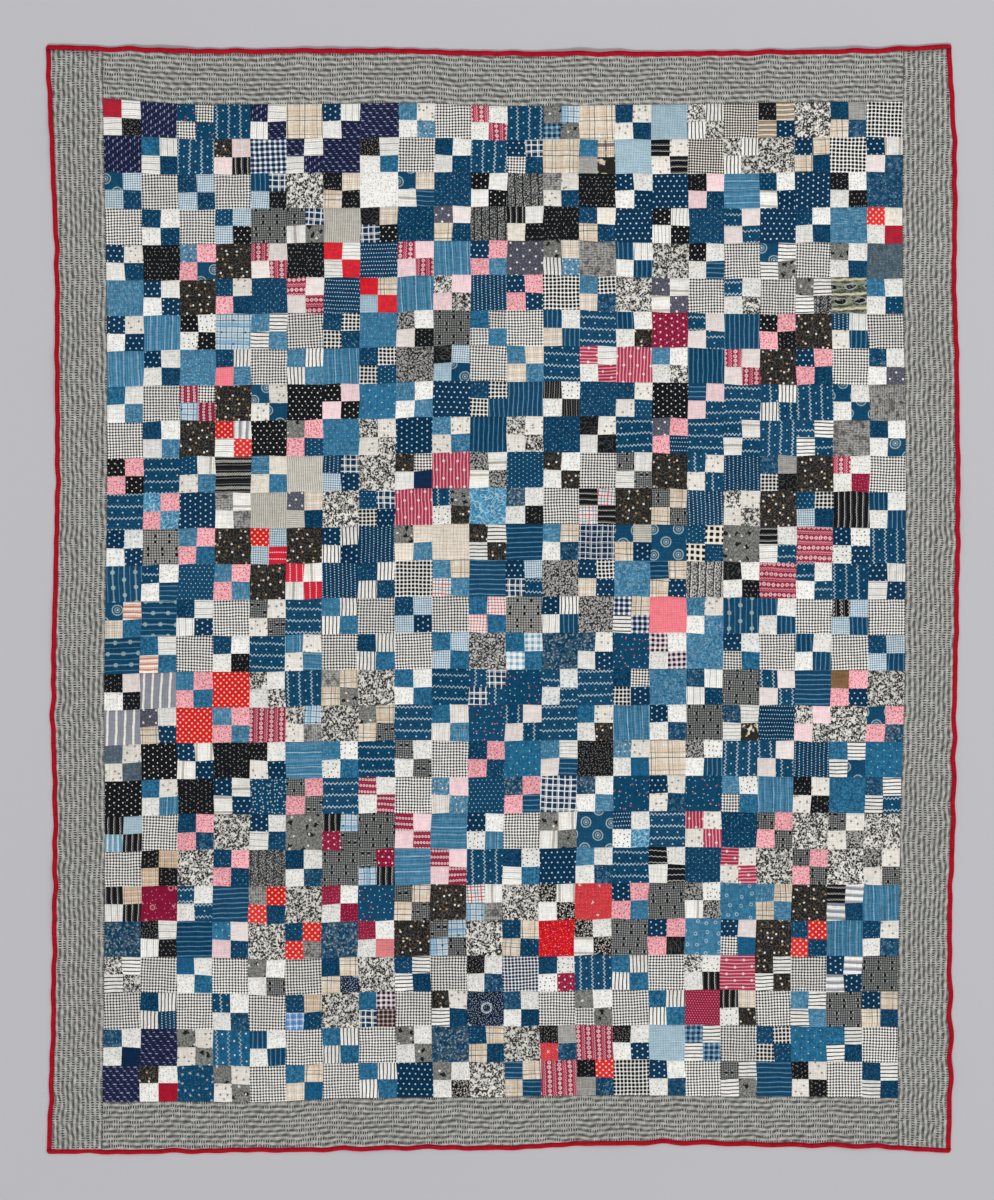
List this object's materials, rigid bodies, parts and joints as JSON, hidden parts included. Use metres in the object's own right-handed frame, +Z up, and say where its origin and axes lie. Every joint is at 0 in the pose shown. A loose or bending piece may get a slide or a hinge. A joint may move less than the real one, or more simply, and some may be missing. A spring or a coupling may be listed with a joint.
{
  "type": "patchwork quilt",
  "caption": "Flat patchwork quilt of small cotton squares and four-patches, with a print border and a narrow bound edge.",
  "frame": {"origin": "middle of the underside, on the surface that the quilt lies on", "axes": "+Z up out of the quilt's face, +Y towards its top edge, +X to the right seen from above"},
  "size_m": [1.9294, 2.342, 0.0106],
  "materials": {
    "patchwork_cotton": "matte cotton prints in indigo, white, black, grey, pink and red, softly puffed between the seams",
    "border_cotton": "matte cotton, grey and cream dashed print",
    "binding_cotton": "matte plain red cotton, folded over the edge"
  },
  "bodies": {
    "root": {"patchwork": "patchwork_cotton", "border_top": "border_cotton", "border_bottom": "border_cotton", "border_left": "border_cotton", "border_right": "border_cotton", "binding_top": "binding_cotton", "binding_bottom": "binding_cotton", "binding_left": "binding_cotton", "binding_right": "binding_cotton"}
  },
  "joints": []
}
